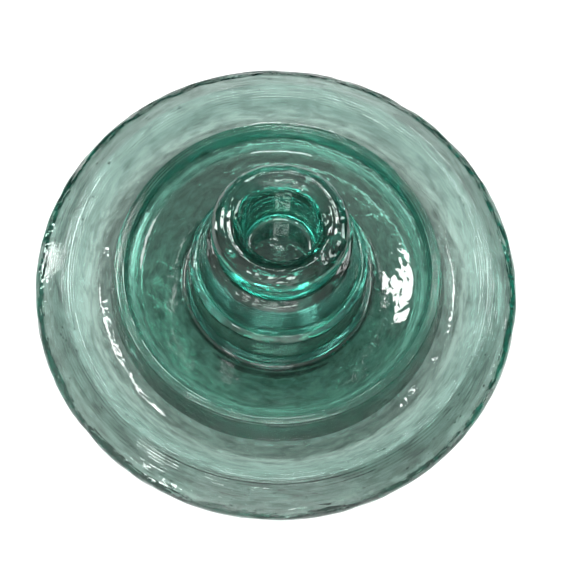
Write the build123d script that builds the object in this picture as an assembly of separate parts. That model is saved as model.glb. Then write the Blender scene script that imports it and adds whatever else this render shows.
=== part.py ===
from build123d import *
import os

# Four-piece glass pin insulator, standing upside down on its crown.
# Millimetres. +Z is up, the common axis is Z, and Z = 0 is the crown's flat face.
# Every piece is turned about the axis, and nests in the piece outside it.

# ---- driving dimensions -------------------------------------------------------------
OVERALL_RADIUS = 127.0        # 10 inch overall diameter, at the shoulder
OVERALL_HEIGHT = 113.4        # crown face to the top of the lip
NEST_GAP = 0.4                # clear gap between nested pieces

# Outer shell
CROWN_FACE_CORNER = 47.0      # corner of the flat face that the insulator stands on
CROWN_RADIUS = 51.5           # ear of the crown, below the tie-wire groove
CROWN_EDGE_Z = 5.0
GROOVE_NECK_RADIUS = 43.5     # bottom of the tie-wire groove
GROOVE_Z = 13.5
UMBRELLA_ROOT = (56.0, 23.0)  # where the underside of the umbrella leaves the crown
UMBRELLA_MIDDLE = (98.0, 33.0)
UMBRELLA_EDGE = (121.5, 42.5)
SHOULDER_LOW_Z = 49.5         # the widest circle lies between these two heights
SHOULDER_TOP_Z = 54.5
RIM_OUTER = (109.3, 64.2)     # drip rim, between its bevel and its narrow land
RIM_INNER = (105.6, 60.0)
TROUGH = (97.6, 43.8)         # outer edge of the open trough round the middle shell
SEAT_EDGE = (46.0, 34.6)      # mouth of the central socket
SOCKET_FLOOR = (34.0, 19.0)

# Middle shell
RIDGE_OUTER = (84.2, 64.0)
RIDGE_INNER = (79.4, 63.8)
SKIRT_EDGE = (89.6, 47.5)
SKIRT_FOOT = (88.0, 42.9)
BOWL_EDGE = (75.0, 52.5)
BOWL_FOOT = (53.6, 45.0)
COLLAR_FOOT = (49.4, 41.0)
COLLAR_SHOULDER = (45.6, 68.6)
COLLAR_TOP = (41.3, 72.8)
MIDDLE_FLOOR_Z = 38.0
MIDDLE_WELL_RADIUS = 35.4     # the well at its floor

# Centre shell
CENTRE_WAIST = (40.9, 73.8)   # widest circle, just above the collar
CENTRE_SHOULDER = (35.8, 88.4)
CENTRE_TOP = (30.0, 91.0)
CENTRE_FLOOR_Z = 57.0
CENTRE_WELL_RADIUS = 27.0

# Pin sleeve
LIP_RADIUS = 7.75             # radius of the lip's round section
SLEEVE_SHOULDER_RADIUS = 29.4 # where the sleeve leaves the centre shell
NECK_RADIUS = 28.2            # under the lip
NECK_Z = 95.0
HOLE_RADIUS = 17.4            # 1-3/8 inch pin
HOLE_FLOOR_Z = 82.0

# Corner rounds
CROWN_ROUND = 4.0
CROWN_EAR_ROUND = 3.0
GROOVE_ROUND = 6.0
ROOT_ROUND = 5.0
UNDERSIDE_ROUND = 50.0
EDGE_ROUND = 3.5
SHOULDER_ROUND = 5.0
BEVEL_ROUND = 5.0
RIDGE_ROUND = 1.9
BOWL_ROUND = 7.0
BOWL_FOOT_ROUND = 3.0
STEP_ROUND = 2.3
NECK_ROUND = 3.0
RIM_ROUND = 1.6
LAND_ROUND = 1.4
TROUGH_ROUND = 5.0
SOCKET_ROUND = 4.0
SMALL_ROUND = 1.2
FOOT_ROUND = 2.0
HOLE_FLOOR_ROUND = 3.0


def nested(point):
    """Return a profile point moved in and up, clear of the seat that it stands for."""
    return (point[0] - NEST_GAP, point[1] + NEST_GAP)


def turned(corners):
    """Turn a closed outline about Z. Each corner is (radius, height, round)."""
    points = [(radius, height) for radius, height, _ in corners]
    rounds = [corner_round for _, _, corner_round in corners]
    with BuildPart() as part:
        with BuildSketch(Plane.XZ):
            with BuildLine():
                FilletPolyline(*points, radius=rounds, close=True)
            make_face()
        revolve(axis=Axis.Z)
    return part.part


def outer_shell():
    """Umbrella with a drip rim above, and a crown with the side tie-wire groove below."""
    return turned([
        (0.0, 0.0, 0.0),
        (CROWN_FACE_CORNER, 0.0, CROWN_ROUND),
        (CROWN_RADIUS, CROWN_EDGE_Z, CROWN_EAR_ROUND),
        (GROOVE_NECK_RADIUS, GROOVE_Z, GROOVE_ROUND),
        (*UMBRELLA_ROOT, ROOT_ROUND),
        (*UMBRELLA_MIDDLE, UNDERSIDE_ROUND),
        (*UMBRELLA_EDGE, EDGE_ROUND),
        (OVERALL_RADIUS, SHOULDER_LOW_Z, SHOULDER_ROUND),
        (OVERALL_RADIUS, SHOULDER_TOP_Z, BEVEL_ROUND),
        (*RIM_OUTER, RIM_ROUND),
        (*RIM_INNER, LAND_ROUND),
        (*TROUGH, TROUGH_ROUND),
        (*SEAT_EDGE, SMALL_ROUND),
        (*SOCKET_FLOOR, SOCKET_ROUND),
        (0.0, SOCKET_FLOOR[1], 0.0),
    ])


def middle_shell():
    """Second umbrella, with a raised ridge at its edge and a collar round its well."""
    return turned([
        (0.0, SOCKET_FLOOR[1] + NEST_GAP, 0.0),
        (*nested(SOCKET_FLOOR), SOCKET_ROUND),
        (*nested(SEAT_EDGE), SMALL_ROUND),
        (*SKIRT_FOOT, FOOT_ROUND),
        (*SKIRT_EDGE, FOOT_ROUND),
        (*RIDGE_OUTER, RIDGE_ROUND),
        (*RIDGE_INNER, RIDGE_ROUND),
        (*BOWL_EDGE, BOWL_ROUND),
        (*BOWL_FOOT, BOWL_FOOT_ROUND),
        (*COLLAR_FOOT, FOOT_ROUND),
        (*COLLAR_SHOULDER, STEP_ROUND),
        (*COLLAR_TOP, SMALL_ROUND),
        (MIDDLE_WELL_RADIUS, MIDDLE_FLOOR_Z, SOCKET_ROUND),
        (0.0, MIDDLE_FLOOR_Z, 0.0),
    ])


def centre_shell():
    """Conical cup that stands out of the collar."""
    return turned([
        (0.0, MIDDLE_FLOOR_Z + NEST_GAP, 0.0),
        (MIDDLE_WELL_RADIUS - NEST_GAP, MIDDLE_FLOOR_Z + NEST_GAP, SOCKET_ROUND),
        (*CENTRE_WAIST, SOCKET_ROUND),
        (*CENTRE_SHOULDER, STEP_ROUND),
        (*CENTRE_TOP, SMALL_ROUND),
        (CENTRE_WELL_RADIUS, CENTRE_FLOOR_Z, SOCKET_ROUND),
        (0.0, CENTRE_FLOOR_Z, 0.0),
    ])


def pin_sleeve():
    """Thick sleeve round the blind pin hole, with a rounded lip at its mouth."""
    lip_z = OVERALL_HEIGHT - LIP_RADIUS
    body = turned([
        (0.0, CENTRE_FLOOR_Z + NEST_GAP, 0.0),
        (CENTRE_WELL_RADIUS - NEST_GAP, CENTRE_FLOOR_Z + NEST_GAP, SOCKET_ROUND),
        (SLEEVE_SHOULDER_RADIUS, CENTRE_TOP[1], NECK_ROUND),
        (NECK_RADIUS, NECK_Z, NECK_ROUND),
        (NECK_RADIUS, lip_z, 0.0),
        (HOLE_RADIUS, lip_z, 0.0),
        (HOLE_RADIUS, HOLE_FLOOR_Z, HOLE_FLOOR_ROUND),
        (0.0, HOLE_FLOOR_Z, 0.0),
    ])
    lip = Pos(0, 0, lip_z) * Torus(HOLE_RADIUS + LIP_RADIUS, LIP_RADIUS)
    return body + lip


NODES = {
    "outer_shell": outer_shell(),
    "middle_shell": middle_shell(),
    "centre_shell": centre_shell(),
    "pin_sleeve": pin_sleeve(),
}

os.makedirs("parts", exist_ok=True)
for name, shape in NODES.items():
    export_step(shape, f"parts/{name}.step")
    print(name, len(shape.solids()), round(shape.volume / 1000, 1), "cm3", shape.bounding_box())
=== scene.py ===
import math
import random

import bmesh
import bpy
import numpy as np
from mathutils import Matrix, Vector, noise


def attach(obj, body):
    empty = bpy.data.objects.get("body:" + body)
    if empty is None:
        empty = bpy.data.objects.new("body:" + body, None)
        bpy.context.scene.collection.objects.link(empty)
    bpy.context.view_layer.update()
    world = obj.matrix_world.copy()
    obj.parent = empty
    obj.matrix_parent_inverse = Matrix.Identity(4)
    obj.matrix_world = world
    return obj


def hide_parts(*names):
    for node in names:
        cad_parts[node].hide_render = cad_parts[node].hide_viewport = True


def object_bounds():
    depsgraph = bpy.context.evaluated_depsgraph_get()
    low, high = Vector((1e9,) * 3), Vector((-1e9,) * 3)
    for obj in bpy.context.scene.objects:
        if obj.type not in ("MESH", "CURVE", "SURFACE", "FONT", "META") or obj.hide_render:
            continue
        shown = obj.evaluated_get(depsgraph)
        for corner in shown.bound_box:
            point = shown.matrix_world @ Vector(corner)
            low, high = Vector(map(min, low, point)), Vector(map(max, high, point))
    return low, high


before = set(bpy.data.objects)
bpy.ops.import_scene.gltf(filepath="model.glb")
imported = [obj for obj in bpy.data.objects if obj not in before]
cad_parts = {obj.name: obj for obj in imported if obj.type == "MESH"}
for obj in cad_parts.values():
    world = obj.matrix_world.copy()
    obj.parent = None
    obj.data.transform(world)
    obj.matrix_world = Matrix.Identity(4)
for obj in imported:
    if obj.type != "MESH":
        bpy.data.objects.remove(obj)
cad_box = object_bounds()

# The glass insulator, underside up: four nested shells of pressed aqua glass. Each shell is
# turned again here from the outline of its own CAD node, with the skin of real pressed glass.
# Metres throughout, in the frame's own axes: +Z is the common axis, Z = 0 the crown face.

MM = 0.001
FULL_TURN = 2 * math.pi
SEED = 23                           # for the places, sizes and shapes of the gas seeds
ON_PLANE = 1e-6                     # a point this near to the section plane is on it
CORNER_SOFTNESS = 0.5 * MM          # how wide the outline's corners are rounded off
CORNER_STEP = 0.1 * MM              # the outline's spacing while they are
INSIDE_CAD = 0.02 * MM              # an open skin stays at least this far inside its CAD node


# ---- outlines, read from the frame ---------------------------------------------------

def outline(source):
    """A node's half section as ordered (radius, height) points, from axis to axis."""
    mesh = source.data
    on_plane = {}
    for vertex in mesh.vertices:
        x, y, z = vertex.co
        if abs(y) < ON_PLANE and x > -ON_PLANE:
            on_plane[vertex.index] = (round(x / MM, 3), round(z / MM, 3))
    links = {}
    for edge in mesh.edges:
        a, b = edge.vertices
        if a in on_plane and b in on_plane and on_plane[a] != on_plane[b]:
            links.setdefault(on_plane[a], set()).add(on_plane[b])
            links.setdefault(on_plane[b], set()).add(on_plane[a])
    # The chain stops at the rims of the two flat discs on the axis, which are closed here.
    start = min((p for p in links if len(links[p]) == 1), key=lambda p: p[1])
    path = [start]
    while True:
        ahead = [p for p in links[path[-1]] if p not in path]
        if not ahead:
            break
        path.append(ahead[0])
    path = [(0.0, path[0][1])] + path + [(0.0, path[-1][1])]
    return np.array(path) * MM


def resampled(points, step):
    """The outline again, with even spacing of about one step."""
    lengths = np.hypot(*np.diff(points, axis=0).T)
    along = np.concatenate([[0.0], np.cumsum(lengths)])
    count = max(2, int(round(along[-1] / step)) + 1)
    even = np.linspace(0.0, along[-1], count)
    return np.column_stack([np.interp(even, along, points[:, k]) for k in range(2)])


def softened(points, width, step):
    """The outline with its corners rounded off by a moving average, its two ends kept."""
    fine = resampled(points, step)
    reach = int(3 * width / step)
    weights = np.exp(-0.5 * (np.arange(-reach, reach + 1) * step / width) ** 2)
    weights /= weights.sum()
    # Mirrored past the axis at each end, so that the ends stay level and on the axis.
    head = fine[1:reach + 1][::-1] * (-1.0, 1.0)
    tail = fine[-reach - 1:-1][::-1] * (-1.0, 1.0)
    padded = np.vstack([head, fine, tail])
    smooth = np.column_stack([np.convolve(padded[:, k], weights, "valid") for k in range(2)])
    smooth[0, 0] = 0.0
    smooth[-1, 0] = 0.0
    return smooth


# ---- skin: how far the real surface stands in or out of the turned one ---------------

def bell(x, centre, width):
    """A smooth window, 1 at the centre and near 0 two widths away."""
    return np.exp(-((x - centre) / width) ** 2)


def smoothstep(x, low, high):
    """0 below low, 1 above high, and a smooth rise between them."""
    t = np.clip((x - low) / (high - low), 0, 1)
    return t * t * (3 - 2 * t)


SEED_SHIFT = (7.31, 3.17, 5.53)     # how far one seed's noise lies from the next one's
NOISE_DECAY = 1.0
NOISE_RATIO = 2.0                   # each octave is this much finer than the one before


def field(points, scale, seed, octaves):
    """Smooth noise between about -1 and 1 at each point, with features of one scale."""
    shift = Vector([seed * step for step in SEED_SHIFT])
    places = [Vector(point) / scale + shift for point in points]
    return np.array([noise.fractal(p, NOISE_DECAY, NOISE_RATIO, octaves) for p in places])


class Skin:
    """The surface of one shell, point by point, with the patterns that displace it."""

    def __init__(self, radius, height, angle, along, out_r, out_z):
        self.radius = radius
        self.height = height
        self.angle = angle
        self.along = along
        self.out_r = out_r
        self.out_z = out_z
        self.points = np.column_stack([radius * np.cos(angle), radius * np.sin(angle), height])

    def swell(self, scale, seed):
        """Slow unevenness of pressed glass."""
        return field(self.points, scale, seed, 2)

    def streaks(self, scale, stretch, seed, octaves=3):
        """Noise drawn out round the axis by the stretch, as the mould leaves it."""
        ring = self.radius / stretch
        drawn = np.column_stack([ring * np.cos(self.angle), ring * np.sin(self.angle), self.along])
        return field(drawn, scale, seed, octaves)

    def folds(self, scale, stretch, seed):
        """Sharp-crested chill wrinkles, up to 1 at the crests."""
        return 1.0 - 2.4 * np.abs(self.streaks(scale, stretch, seed))

    def tool_lines(self, pitch, seed):
        """Fine concentric lines that wander and fade, as a turned mould leaves them."""
        wander = self.streaks(24 * MM, 5.0, seed, 2)
        fade = 0.5 + 0.5 * self.streaks(16 * MM, 3.0, seed + 1, 2)
        return np.sin(FULL_TURN * self.along / pitch + 4.0 * wander) * np.clip(fade, 0, 1)


# Each function below takes a Skin and returns how far its points stand out of the turned
# surface, and the marks its material reads: chill for crumpled skin, lines for turned lines
# and a shade mark for the painted shade, a dark colour laid where the glass looks shaded.
# Where shells touch, on their seats, the skin stays as the CAD has it.

# Outer shell
OUTER_SEAT_R = 90 * MM              # the middle shell sits inside this
CROWN_FACE_Z = 1 * MM               # the flat face it stands on is below this
CROWN_TOP_Z = 20 * MM
# Middle shell
COLLAR_SEAT_R = 42 * MM             # the cup sits inside this
COLLAR_FOOT_R = 52.5 * MM           # the collar's foot, on the bowl
COLLAR_FOOT_Z = 52 * MM
COLLAR_SHOULDER_Z = 60 * MM
RIDGE_FOOT_Z = 58 * MM
SKIRT_FACE_R = 88.3 * MM            # the hanging skirt's outer face
SKIRT_INSIDE_R = 84 * MM            # outside this and above the height, the skirt is bare too
SKIRT_SEAT_Z = 50 * MM
# Centre cup
CUP_BARE_Z = 75 * MM                # above this the cup stands out of the collar
CUP_SEAT_FACING = -0.3              # the cup's inner side, on the sleeve, faces inwards more
# Pin sleeve
HOLE_WALL_R = 17.6 * MM
HOLE_FLOOR_Z = 80 * MM
HOLE_EDGE_R = 18.5 * MM             # no painted shade inside this
LINED_R = 19 * MM                   # no turned lines inside this
SLEEVE_BARE_Z = 93 * MM             # above this the sleeve stands out of the cup
CHIP_LOWEST_Z = 104 * MM


def far_side_shading(angle):
    """Painted shade for the far side: 1 towards +Y, a little to -X, and 0 opposite."""
    return smoothstep(np.sin(angle - 0.20), 0.1, 0.9)


def outer_skin(skin):
    r, z = skin.radius, skin.height
    up = skin.out_z > 0
    # painted shade on the far side's upper skin
    far_side_up = far_side_shading(skin.angle) * up
    edge = smoothstep(r, 118.5 * MM, 122 * MM)
    tip = bell(r, 124.5 * MM, 4.5 * MM)
    bevel = bell(r, 115 * MM, 6 * MM) * up
    rim = bell(r, 107.5 * MM, 3 * MM) * up
    wall = bell(r, 103 * MM, 3.5 * MM) * up
    trough = bell(r, 97.5 * MM, 4.2 * MM) * up
    # painted shadow under the middle shell's skirt
    skirt_shadow = bell(r, 93 * MM, 5 * MM) * up
    crown = bell(r, 50 * MM, 4 * MM) * (z < CROWN_TOP_Z)
    under = (~up) * smoothstep(r, 58 * MM, 70 * MM)
    depth = -0.30 * MM + 0.14 * MM * skin.swell(36 * MM, 1)
    depth += 0.06 * MM * skin.streaks(6 * MM, 3.0, 2)
    depth += 0.34 * MM * edge * skin.folds(5.0 * MM, 4.5, 3)
    depth += 0.20 * MM * trough * skin.folds(8 * MM, 3.5, 4)
    depth += 0.12 * MM * (wall + 0.6 * crown) * skin.folds(7 * MM, 3.0, 5)
    depth += 0.05 * MM * bevel * skin.tool_lines(4.5 * MM, 6)
    depth += 0.16 * MM * bevel * skin.folds(6 * MM, 6.0, 8)
    depth += 0.05 * MM * under * skin.tool_lines(5.5 * MM, 7)
    seated = up & (r < OUTER_SEAT_R)
    crown_face = z < CROWN_FACE_Z
    depth = np.where(seated | crown_face, 0.0, np.minimum(depth, -INSIDE_CAD))
    # painted shade on the far side, strongest at the tip and on the wall
    far_shade = far_side_up * (0.22 + 0.50 * tip + 0.34 * bell(r, 103 * MM, 4.0 * MM))
    marks = {
        "chill": np.clip(edge + 0.3 * trough + 0.2 * wall + 0.4 * crown + 0.4 * bevel, 0, 1),
        "lines": np.clip(rim + 0.12 * bevel, 0, 1),
        # painted shade: shadow under the skirt, shade on the trough wall and the far side
        "painted_shade": 0.55 * np.clip(skirt_shadow + 0.6 * wall, 0, 1) + far_shade,
    }
    return depth, marks


def middle_skin(skin):
    r, z = skin.radius, skin.height
    up = skin.out_z > 0
    skirt_inside = (r > SKIRT_INSIDE_R) & (z > SKIRT_SEAT_Z)
    open_side = (up & (r > COLLAR_SEAT_R)) | (r > SKIRT_FACE_R) | skirt_inside
    skirt = smoothstep(r, 86.0 * MM, 87.6 * MM)
    ridge = bell(r, 82 * MM, 3.4 * MM) * (z > RIDGE_FOOT_Z)
    bowl = smoothstep(r, 50 * MM, 58 * MM) * (1 - smoothstep(r, 70 * MM, 78 * MM))
    # painted shade in the corner at the collar's foot and over the whole collar
    foot_shade = bell(r, 51.5 * MM, 2.5 * MM) * (z < COLLAR_FOOT_Z) * up
    collar_shade = r < COLLAR_FOOT_R
    collar_top = bell(r, 43.5 * MM, 2.5 * MM) * (z > COLLAR_SHOULDER_Z)
    # painted shade on the far side of the bowl
    far_shade = 0.35 * far_side_shading(skin.angle) * bowl
    depth = -0.14 * MM + 0.12 * MM * skin.swell(26 * MM, 11)
    depth += 0.40 * MM * skirt * skin.folds(4.5 * MM, 1.8, 13)
    depth += 0.10 * MM * bowl * skin.streaks(9 * MM, 0.8, 15, 2)
    depth += 0.036 * MM * bowl * skin.folds(4.5 * MM, 1.2, 17)
    depth += 0.30 * MM * collar_top * skin.folds(5 * MM, 2.5, 16)
    depth = np.where(open_side, np.minimum(depth, -INSIDE_CAD), 0.0)
    marks = {
        "chill": np.clip(skirt + 0.2 * ridge + 0.7 * collar_top, 0, 1) * open_side,
        "lines": np.clip(ridge, 0, 1) * open_side,
        # painted shade on the skirt's edge, the collar's foot, the collar and the far bowl
        "painted_shade": np.clip(0.5 * skirt + 0.5 * foot_shade + far_shade + collar_shade, 0, 1) * open_side,
    }
    return depth, marks


def centre_skin(skin):
    z = skin.height
    open_side = (z > CUP_BARE_Z) & (skin.out_r > CUP_SEAT_FACING)
    top = smoothstep(z, 85 * MM, 88.5 * MM)
    depth = -0.12 * MM + 0.10 * MM * skin.swell(18 * MM, 21)
    depth += 0.26 * MM * top * skin.folds(4.5 * MM, 2.5, 22)
    depth = np.where(open_side, np.minimum(depth, -INSIDE_CAD), 0.0)
    # painted shade over all of the cup's bare glass, which darkens the tower
    marks = {"chill": 0.6 * top * open_side, "lines": 0.3 * open_side, "painted_shade": 1.0 * open_side}
    return depth, marks


CHIP_ANGLE = math.radians(-26)      # a shallow chip on the outer side of the lip
CHIP_RADIUS = 28 * MM
CHIP_HALF_LENGTH = 8 * MM
CHIP_HALF_WIDTH = 4.5 * MM
LIP_RADIUS = 29 * MM                # where the chip's length is measured round the lip


def sleeve_skin(skin):
    r, z = skin.radius, skin.height
    hole = (r < HOLE_WALL_R) & (z > HOLE_FLOOR_Z)
    open_side = (z > SLEEVE_BARE_Z) | hole
    lip = smoothstep(z, 102 * MM, 108 * MM)
    # painted shade in the groove under the lip
    neck_shade = bell(z, 95.5 * MM, 3.5 * MM)
    shoulders = bell(r, 29.5 * MM, 2.2 * MM) + bell(r, 20.5 * MM, 1.8 * MM)
    depth = -0.16 * MM + 0.10 * MM * skin.swell(12 * MM, 31)
    depth += 0.06 * MM * lip * skin.streaks(3.5 * MM, 1.6, 32)
    depth += 0.36 * MM * lip * shoulders * skin.folds(3.6 * MM, 1.8, 33)
    depth = np.minimum(depth, -INSIDE_CAD)
    # The chip is a dished oval with a rippled floor.
    turn = (skin.angle - CHIP_ANGLE + math.pi) % FULL_TURN - math.pi
    sideways = turn * LIP_RADIUS / CHIP_HALF_LENGTH
    reach = sideways ** 2 + ((r - CHIP_RADIUS) / CHIP_HALF_WIDTH) ** 2
    dent = np.clip(1.0 - reach, 0, None) ** 0.5 * (z > CHIP_LOWEST_Z)
    depth -= dent * (0.75 * MM + 0.10 * MM * np.sin(reach * 22.0))
    outside_hole = r > HOLE_EDGE_R
    marks = {
        "chill": np.clip(0.35 * lip + 0.8 * lip * shoulders, 0, 1) * open_side,
        "lines": 0.15 * open_side * (r > LINED_R),
        # painted shade on the lip and in the groove under it
        "painted_shade": np.clip(0.38 * lip + 0.9 * neck_shade, 0, 1) * open_side * outside_hole,
    }
    return np.where(open_side, depth, 0.0), marks


# ---- pieces --------------------------------------------------------------------------

SEED_FACING = 0.6                   # seeds lie only under skin that faces up by more
SEED_COVER = (0.5, 1.6)             # millimetres of glass over a seed
SEED_DRAWN = (0.0, 1.6)             # how much longer a seed is round the axis


def seed_bubbles(count, profile, wanted, sizes, rng):
    """Small gas seeds under the skin: closed cavities, as points and inward-facing faces."""
    tangent = np.gradient(profile, axis=0)
    tangent /= np.linalg.norm(tangent, axis=1)[:, None]
    rows = [
        k for k in range(len(profile))
        if wanted(*profile[k]) and tangent[k, 0] < -SEED_FACING
    ]
    template = bmesh.new()
    bmesh.ops.create_icosphere(template, subdivisions=2, radius=1.0)
    ball = np.array([v.co[:] for v in template.verts])
    ball_faces = [tuple(v.index for v in f.verts)[::-1] for f in template.faces]
    template.free()
    points, faces = [], []
    for _ in range(count):
        k = rng.choice(rows)
        angle = rng.uniform(0, FULL_TURN)
        size = rng.uniform(*sizes)
        depth = size + rng.uniform(*SEED_COVER) * MM
        # Into the glass is to the left of the outline's run.
        r = profile[k, 0] - depth * tangent[k, 1]
        z = profile[k, 1] + depth * tangent[k, 0]
        middle = np.array([r * math.cos(angle), r * math.sin(angle), z])
        around = np.array([-math.sin(angle), math.cos(angle), 0.0])
        drawn = ball + np.outer(ball @ around, around) * rng.uniform(*SEED_DRAWN)
        faces += [tuple(i + len(points) * len(ball) for i in f) for f in ball_faces]
        points.append(middle + size * drawn)
    return np.vstack(points), faces


def turned_piece(name, node_name, body, skin, material, segments, spacing, seeds=None):
    """Turn one shell from its CAD outline, wrinkle its skin and put it on its body."""
    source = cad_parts[node_name]
    profile = resampled(softened(outline(source), CORNER_SOFTNESS, CORNER_STEP), spacing)
    ring = profile[1:-1]
    rows = len(ring)
    angles = np.linspace(0.0, FULL_TURN, segments, endpoint=False)
    tangent = np.gradient(profile, axis=0)[1:-1]
    tangent /= np.linalg.norm(tangent, axis=1)[:, None]
    radius = np.repeat(ring[:, 0], segments)
    height = np.repeat(ring[:, 1], segments)
    angle = np.tile(angles, rows)
    along = np.repeat(np.arange(1, rows + 1) * spacing, segments)
    # The outline runs outwards from the lower end of the axis, so its right side is outside.
    out_r = np.repeat(tangent[:, 1], segments)
    out_z = np.repeat(-tangent[:, 0], segments)
    depth, marks = skin(Skin(radius, height, angle, along, out_r, out_z))
    marks["along"] = along
    radius = radius + depth * out_r
    height = height + depth * out_z
    points = np.column_stack([radius * np.cos(angle), radius * np.sin(angle), height])
    points = np.vstack([points, [0, 0, profile[0, 1]], [0, 0, profile[-1, 1]]])
    faces = []
    for row in range(rows - 1):
        low = row * segments
        high = low + segments
        for k in range(segments):
            after = (k + 1) % segments
            faces.append((low + k, low + after, high + after, high + k))
    # The two points on the axis close the flat discs at the outline's ends.
    first = rows * segments
    last = first + 1
    top = (rows - 1) * segments
    for k in range(segments):
        after = (k + 1) % segments
        faces.append((first, after, k))
        faces.append((last, top + k, top + after))
    if seeds:
        count, wanted, sizes = seeds
        bubbles, bubble_faces = seed_bubbles(count, profile, wanted, sizes, random.Random(SEED))
        faces += [tuple(i + len(points) for i in f) for f in bubble_faces]
        points = np.vstack([points, bubbles])
    mesh = bpy.data.meshes.new(name)
    mesh.from_pydata(points.tolist(), [], faces)
    mesh.polygons.foreach_set("use_smooth", [True] * len(mesh.polygons))
    for key, values in marks.items():
        mark = mesh.attributes.new(key, "FLOAT", "POINT")
        full = np.zeros(len(points))
        full[:len(values)] = values
        mark.data.foreach_set("value", full)
    mesh.update()
    piece = bpy.data.objects.new(name, mesh)
    bpy.context.scene.collection.objects.link(piece)
    mesh.materials.append(material)
    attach(piece, body)
    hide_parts(node_name)


# ---- materials -----------------------------------------------------------------------

GLASS_IOR = 1.52
AQUA = (0.06, 0.80, 0.71, 1.0)      # what the body of the glass lets through
# dark colour of the painted shade
SHADE_COLOUR = (0.06, 0.09, 0.08, 1.0)
LINE_PITCH = 1.5 * MM               # spacing of the finest turned lines
PALE = (0.45, 0.55, 0.50)           # surface tints of each shell, under its cords and painted shade
TEAL = (0.48, 0.79, 0.70)
SMOKE = (0.70, 0.80, 0.76)
DEEP = (0.70, 0.82, 0.77)


def texture(tree, where, scale, detail, distortion=0.0):
    """A noise texture's value, at the given coordinates or else at its own."""
    made = tree.nodes.new("ShaderNodeTexNoise")
    made.inputs["Scale"].default_value = scale
    made.inputs["Detail"].default_value = detail
    made.inputs["Distortion"].default_value = distortion
    if where:
        tree.links.new(where, made.inputs["Vector"])
    return made.outputs["Fac"]


def calculation(tree, operation, first, second):
    """A math node. Each operand is an output socket or a number."""
    made = tree.nodes.new("ShaderNodeMath")
    made.operation = operation
    for socket, operand in zip(made.inputs, (first, second)):
        if isinstance(operand, (int, float)):
            socket.default_value = operand
        else:
            tree.links.new(operand, socket)
    return made.outputs["Value"]


def ranged(tree, source, low, high, to_low, to_high):
    """A value mapped from one range to another, and held inside it."""
    made = tree.nodes.new("ShaderNodeMapRange")
    tree.links.new(source, made.inputs["Value"])
    made.inputs["From Min"].default_value = low
    made.inputs["From Max"].default_value = high
    made.inputs["To Min"].default_value = to_low
    made.inputs["To Max"].default_value = to_high
    return made.outputs["Result"]


def attribute(tree, name):
    """One of the numbers the mesh carries at each point."""
    made = tree.nodes.new("ShaderNodeAttribute")
    made.attribute_name = name
    return made.outputs["Fac"]


def round_axis(tree, place, ring):
    """Coordinates that draw a texture out round the axis, on a ring of fixed size."""
    flat = tree.nodes.new("ShaderNodeVectorMath")
    flat.operation = "MULTIPLY"
    flat.inputs[1].default_value = (1.0, 1.0, 0.0)
    tree.links.new(place, flat.inputs[0])
    unit = tree.nodes.new("ShaderNodeVectorMath")
    unit.operation = "NORMALIZE"
    tree.links.new(flat.outputs["Vector"], unit.inputs[0])
    scaled = tree.nodes.new("ShaderNodeVectorMath")
    scaled.operation = "SCALE"
    scaled.inputs["Scale"].default_value = ring
    tree.links.new(unit.outputs["Vector"], scaled.inputs[0])
    ends = tree.nodes.new("ShaderNodeSeparateXYZ")
    tree.links.new(scaled.outputs["Vector"], ends.inputs["Vector"])
    joined = tree.nodes.new("ShaderNodeCombineXYZ")
    tree.links.new(ends.outputs["X"], joined.inputs["X"])
    tree.links.new(ends.outputs["Y"], joined.inputs["Y"])
    tree.links.new(attribute(tree, "along"), joined.inputs["Z"])
    return joined.outputs["Vector"]


def colour(tree, drawn, tint, cord):
    """Faint cords where the gather was folded, and painted shade in the low places, on the tower
    and on the far side.
    """
    ramp = tree.nodes.new("ShaderNodeValToRGB")
    ramp.color_ramp.elements[0].position = 0.34
    ramp.color_ramp.elements[0].color = (*[c * cord for c in tint], 1.0)
    ramp.color_ramp.elements[1].position = 0.58
    ramp.color_ramp.elements[1].color = (*tint, 1.0)
    cords = texture(tree, drawn, scale=230.0, detail=6.0, distortion=0.8)
    tree.links.new(cords, ramp.inputs["Fac"])
    patches = texture(tree, drawn, scale=260.0, detail=4.0)
    patches = ranged(tree, patches, low=0.3, high=0.6, to_low=0.78, to_high=1.0)
    # the painted shade, broken into patches
    shade_mix = tree.nodes.new("ShaderNodeMix")
    shade_mix.data_type = "RGBA"
    shade_amount = calculation(tree, "MULTIPLY", patches, attribute(tree, "painted_shade"))
    tree.links.new(shade_amount, shade_mix.inputs["Factor"])
    tree.links.new(ramp.outputs["Color"], shade_mix.inputs["A"])
    shade_mix.inputs["B"].default_value = SHADE_COLOUR
    return shade_mix.outputs["Result"]


def roughness(tree, place, chill):
    """Fire-polished, duller in old scuffs and where the skin was chilled."""
    scuffs = texture(tree, place, scale=420.0, detail=5.0)
    worn = ranged(tree, scuffs, low=0.55, high=0.8, to_low=0.0, to_high=0.07)
    return calculation(tree, "ADD", worn, calculation(tree, "MULTIPLY", chill, 0.015))


def relief(tree, place, drawn, chill):
    """Soft ripples everywhere, and drawn streaks, fine crumple and turned lines in places."""
    ripple = texture(tree, place, scale=150.0, detail=2.0)
    streak = texture(tree, drawn, scale=480.0, detail=1.0, distortion=0.6)
    crumple = texture(tree, place, scale=420.0, detail=0.5)
    wander = texture(tree, drawn, scale=45.0, detail=2.0)
    phase = calculation(tree, "MULTIPLY", attribute(tree, "along"), FULL_TURN / LINE_PITCH)
    phase = calculation(tree, "ADD", phase, calculation(tree, "MULTIPLY", wander, 9.0))
    turned = calculation(tree, "SINE", phase, 0.0)
    turned = calculation(tree, "MULTIPLY", turned, attribute(tree, "lines"))
    chilled = calculation(tree, "ADD", streak, crumple)
    chilled = calculation(tree, "MULTIPLY", chilled, chill)
    height = calculation(tree, "ADD", ripple, calculation(tree, "MULTIPLY", streak, 0.25))
    height = calculation(tree, "ADD", height, chilled)
    return calculation(tree, "ADD", height, calculation(tree, "MULTIPLY", turned, 1.4))


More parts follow.
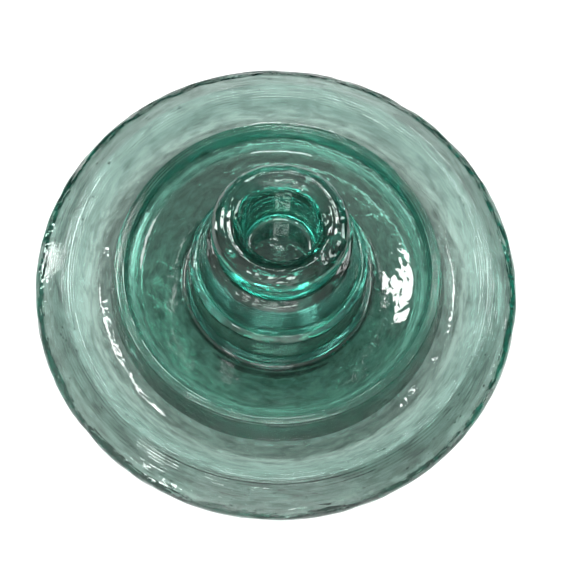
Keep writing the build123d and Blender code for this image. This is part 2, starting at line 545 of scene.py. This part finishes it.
def glass(name, tint, density, bump_depth, ring, cord=0.45):
    """Pressed aqua glass: a clear body with constant absorption, and a lively skin."""
    material = bpy.data.materials.new(name)
    material.use_nodes = True
    tree = material.node_tree
    tree.nodes.clear()
    place = tree.nodes.new("ShaderNodeTexCoord").outputs["Object"]
    drawn = round_axis(tree, place, ring)
    chill = attribute(tree, "chill")
    shader = tree.nodes.new("ShaderNodeBsdfPrincipled")
    shader.inputs["IOR"].default_value = GLASS_IOR
    shader.inputs["Transmission Weight"].default_value = 1.0
    tree.links.new(colour(tree, drawn, tint, cord), shader.inputs["Base Color"])
    tree.links.new(roughness(tree, place, chill), shader.inputs["Roughness"])
    bump = tree.nodes.new("ShaderNodeBump")
    bump.inputs["Strength"].default_value = 1.0
    bump.inputs["Distance"].default_value = bump_depth
    tree.links.new(relief(tree, place, drawn, chill), bump.inputs["Height"])
    tree.links.new(bump.outputs["Normal"], shader.inputs["Normal"])
    body = tree.nodes.new("ShaderNodeVolumeAbsorption")
    body.inputs["Color"].default_value = AQUA
    body.inputs["Density"].default_value = density
    out = tree.nodes.new("ShaderNodeOutputMaterial")
    tree.links.new(shader.outputs["BSDF"], out.inputs["Surface"])
    tree.links.new(body.outputs["Volume"], out.inputs["Volume"])
    return material


def floor_material():
    """Matt, nearly white studio floor with the faintest mottle."""
    material = bpy.data.materials.new("studio_floor")
    material.use_nodes = True
    tree = material.node_tree
    shader = tree.nodes["Principled BSDF"]
    shader.inputs["Roughness"].default_value = 0.8
    ramp = tree.nodes.new("ShaderNodeValToRGB")
    ramp.color_ramp.elements[0].color = (0.86, 0.86, 0.86, 1.0)
    ramp.color_ramp.elements[1].color = (0.90, 0.90, 0.90, 1.0)
    tree.links.new(texture(tree, None, scale=60.0, detail=2.0), ramp.inputs["Fac"])
    tree.links.new(ramp.outputs["Color"], shader.inputs["Base Color"])
    return material


# ---- the four shells -----------------------------------------------------------------

OUTER_GLASS = glass("aqua_outer", PALE, density=12.0, bump_depth=0.20 * MM, ring=0.030)
MIDDLE_GLASS = glass(
    "aqua_middle", TEAL, density=9.0, bump_depth=0.10 * MM, ring=0.030, cord=0.72
)
CENTRE_GLASS = glass("aqua_centre", SMOKE, density=8.0, bump_depth=0.10 * MM, ring=0.015)
SLEEVE_GLASS = glass("aqua_sleeve", DEEP, density=22.0, bump_depth=0.08 * MM, ring=0.010)

# Gas seeds: how many, where on the outline, and their smallest and largest radius.
OUTER_SEEDS = (110, lambda r, z: 0.100 < r < 0.124, (0.18 * MM, 0.50 * MM))
MIDDLE_SEEDS = (45, lambda r, z: 0.052 < r < 0.080, (0.15 * MM, 0.40 * MM))
SLEEVE_SEEDS = (8, lambda r, z: 0.020 < r < 0.030, (0.15 * MM, 0.35 * MM))

turned_piece(
    "outer_umbrella", "outer_shell", "outer", outer_skin, OUTER_GLASS,
    segments=480, spacing=1.0 * MM, seeds=OUTER_SEEDS,
)
turned_piece(
    "middle_umbrella", "middle_shell", "middle", middle_skin, MIDDLE_GLASS,
    segments=420, spacing=0.9 * MM, seeds=MIDDLE_SEEDS,
)
turned_piece(
    "centre_cup", "centre_shell", "centre", centre_skin, CENTRE_GLASS,
    segments=300, spacing=0.8 * MM,
)
turned_piece(
    "pin_sleeve_glass", "pin_sleeve", "sleeve", sleeve_skin, SLEEVE_GLASS,
    segments=300, spacing=0.7 * MM, seeds=SLEEVE_SEEDS,
)

# ---- floor, light and camera ---------------------------------------------------------

FLOOR = 3.0                         # half its width
FLOOR_Z = -0.2 * MM
corners = [
    (-FLOOR, -FLOOR, FLOOR_Z), (FLOOR, -FLOOR, FLOOR_Z),
    (FLOOR, FLOOR, FLOOR_Z), (-FLOOR, FLOOR, FLOOR_Z),
]
floor_mesh = bpy.data.meshes.new("studio_floor")
floor_mesh.from_pydata(corners, [], [(0, 1, 2, 3)])
floor_mesh.materials.append(floor_material())
floor = bpy.data.objects.new("studio_floor", floor_mesh)
bpy.context.scene.collection.objects.link(floor)

LIT_CENTRE = Vector((0.0, 0.0, 0.06))


def softbox(name, azimuth, elevation, distance, size, power):
    """A softbox seen from the centre at an azimuth (0 is +Y, 90 is +X) and an elevation."""
    azimuth, elevation = math.radians(azimuth), math.radians(elevation)
    way = Vector((
        math.sin(azimuth) * math.cos(elevation),
        math.cos(azimuth) * math.cos(elevation),
        math.sin(elevation),
    ))
    light = bpy.data.lights.new(name, "AREA")
    light.shape = "RECTANGLE"
    light.size, light.size_y = size
    light.energy = power
    lamp = bpy.data.objects.new(name, light)
    lamp.location = LIT_CENTRE + distance * way
    lamp.rotation_euler = way.to_track_quat("Z", "Y").to_euler()
    bpy.context.scene.collection.objects.link(lamp)


softbox("window_key", -45, 58, distance=1.5, size=(0.24, 0.34), power=7.0)
softbox("window_near_left", -140, 48, distance=1.5, size=(0.20, 0.26), power=4.5)
softbox("window_right", 66, 43, distance=1.6, size=(0.56, 0.48), power=11.0)
softbox("window_high", 10, 63, distance=1.5, size=(0.44, 0.09), power=4.0)
softbox("window_left", -74, 17, distance=1.6, size=(0.22, 0.40), power=6.0)
softbox("window_near", 178, 66, distance=1.6, size=(0.60, 0.28), power=9.0)
softbox("wall_near", 176, 28, distance=1.9, size=(1.80, 1.00), power=10.0)

# The room: brightest overhead and behind the viewer, darkest low on the far side.
world = bpy.data.worlds.new("studio")
bpy.context.scene.world = world
world.use_nodes = True
sky = world.node_tree
direction = sky.nodes.new("ShaderNodeTexCoord")
toward = sky.nodes.new("ShaderNodeVectorMath")
toward.operation = "DOT_PRODUCT"
toward.inputs[1].default_value = (-0.20, -0.62, 0.76)
room = sky.nodes.new("ShaderNodeValToRGB")
room.color_ramp.elements[0].position = 0.0
room.color_ramp.elements[0].color = (0.05, 0.06, 0.06, 1.0)
room.color_ramp.elements[1].position = 0.85
room.color_ramp.elements[1].color = (1.75, 1.78, 1.75, 1.0)
sky.nodes["Background"].inputs["Strength"].default_value = 0.75
sky.links.new(direction.outputs["Generated"], toward.inputs[0])
sky.links.new(toward.outputs["Value"], room.inputs["Fac"])
sky.links.new(room.outputs["Color"], sky.nodes["Background"].inputs["Color"])

# Camera: above the near side, close, with the small roll of a hand-held picture.
ELEVATION = math.radians(69.33)
ROLL = math.radians(5.72)
FOCAL = 750.0 / 580.0               # focal length over picture width
OVERALL_RADIUS = cad_box[1][0]
WIDEST_Z = 52 * MM
DISTANCE = 3.137 * OVERALL_RADIUS
OFF_RIGHT = -0.0153 * DISTANCE
OFF_UP = 0.0256 * DISTANCE

across = Vector((1, 0, 0))
upward = Vector((0, math.sin(ELEVATION), math.cos(ELEVATION)))
back = Vector((0, -math.cos(ELEVATION), math.sin(ELEVATION)))
right_axis = math.cos(ROLL) * across + math.sin(ROLL) * upward
up_axis = -math.sin(ROLL) * across + math.cos(ROLL) * upward
camera_data = bpy.data.cameras.new("camera")
camera_data.sensor_width = 36.0
camera_data.lens = camera_data.sensor_width * FOCAL
camera = bpy.data.objects.new("camera", camera_data)
turn = Matrix((right_axis, up_axis, back)).transposed()
eye = Vector((0, 0, WIDEST_Z)) + back * DISTANCE - right_axis * OFF_RIGHT - up_axis * OFF_UP
camera.matrix_world = Matrix.Translation(eye) @ turn.to_4x4()
bpy.context.scene.collection.objects.link(camera)
bpy.context.scene.camera = camera

scene = bpy.context.scene
scene.view_settings.view_transform = "Standard"
scene.view_settings.exposure = -0.1
scene.cycles.max_bounces = 24
scene.cycles.transmission_bounces = 24
scene.cycles.glossy_bounces = 8
scene.cycles.use_denoising = True
